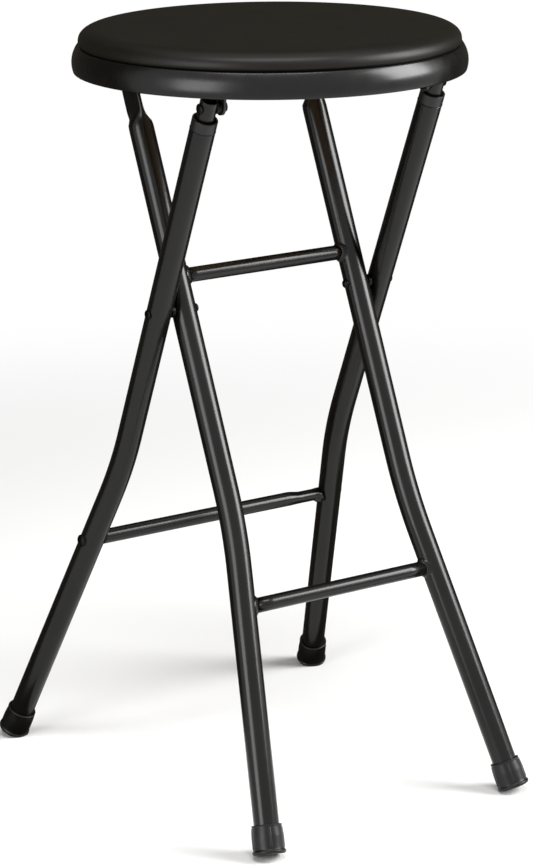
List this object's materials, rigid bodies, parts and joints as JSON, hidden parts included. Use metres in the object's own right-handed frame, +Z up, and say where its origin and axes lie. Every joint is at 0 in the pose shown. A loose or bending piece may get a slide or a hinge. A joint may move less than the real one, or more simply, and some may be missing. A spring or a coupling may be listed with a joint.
{
  "type": "folding stool",
  "caption": "Tall folding stool with a round padded seat on two crossed tube frames that fold flat, the seat flipping up along them on telescoping struts.",
  "frame": {"origin": "on the floor, under the middle of the stool standing open", "axes": "+Z up; +X along the pivots; the inner frame's feet and the struts' seat pivots are at -Y, the outer frame's feet at +Y"},
  "size_m": [0.3338, 0.3659, 0.6151],
  "materials": {
    "frame_tube": "gloss black powder coat",
    "foot_rubber": "moulded rubber",
    "black_plastic": "moulded plastic",
    "black_hardware": "black oxide",
    "bracket_steel": "black powder coat",
    "plywood": "sanded plywood",
    "gloss_rim": "gloss moulding",
    "vinyl": "smooth black vinyl"
  },
  "bodies": {
    "inner_frame": {"inner_leg_left": "frame_tube", "inner_leg_right": "frame_tube", "inner_upper_bar": "frame_tube", "inner_lower_bar": "frame_tube", "frame_welds": "frame_tube", "front_foot_left": "foot_rubber", "front_foot_right": "foot_rubber", "centre_rivet_left": "black_hardware", "centre_rivet_right": "black_hardware", "centre_spacers": "black_plastic"},
    "outer_frame": {"outer_leg_left": "frame_tube", "outer_leg_right": "frame_tube", "outer_bar": "frame_tube", "bar_rivets": "black_hardware", "slide_bush_left": "black_plastic", "slide_bush_right": "black_plastic", "rear_foot_left": "foot_rubber", "rear_foot_right": "foot_rubber"},
    "strut_left": {"strut_left": "frame_tube", "strut_plug_left": "black_plastic", "strut_bolt_left": "black_hardware", "strut_spacer_left": "black_plastic"},
    "strut_right": {"strut_right": "frame_tube", "strut_plug_right": "black_plastic", "strut_bolt_right": "black_hardware", "strut_spacer_right": "black_plastic"},
    "seat": {"seat_board": "plywood", "seat_rim": "gloss_rim", "seat_cushion": "vinyl", "seat_bracket_left": "bracket_steel", "seat_bracket_right": "bracket_steel", "bracket_screws": "black_hardware", "rear_pivot_bolts": "black_hardware", "rear_pivot_nuts": "black_hardware", "rear_pivot_spacers": "black_plastic", "front_pivot_nuts": "black_hardware"}
  },
  "joints": [
    {"name": "frame_fold", "type": "hinge", "parent": "inner_frame", "child": "outer_frame", "pos_m": [0, 0, 0.3965], "axis": [-1, 0, 0], "range_deg": [0, 43.08]},
    {"name": "strut_slide_left", "type": "slide", "parent": "outer_frame", "child": "strut_left", "axis": [0, -0.4003, 0.9164], "range_m": [0, 0.14944]},
    {"name": "strut_slide_right", "type": "slide", "parent": "outer_frame", "child": "strut_right", "axis": [0, -0.4003, 0.9164], "range_m": [0, 0.14944]},
    {"name": "seat_tilt", "type": "hinge", "parent": "inner_frame", "child": "seat", "pos_m": [0, 0.07527, 0.56878], "axis": [-1, 0, 0], "range_deg": [0, 104.34]}
  ],
  "couplings": [
    {"joint": "strut_slide_left", "follows": "frame_fold", "m_per_rad": 0.19872},
    {"joint": "strut_slide_right", "follows": "frame_fold", "m_per_rad": 0.19872},
    {"joint": "seat_tilt", "follows": "frame_fold", "ratio": 2.4216}
  ]
}
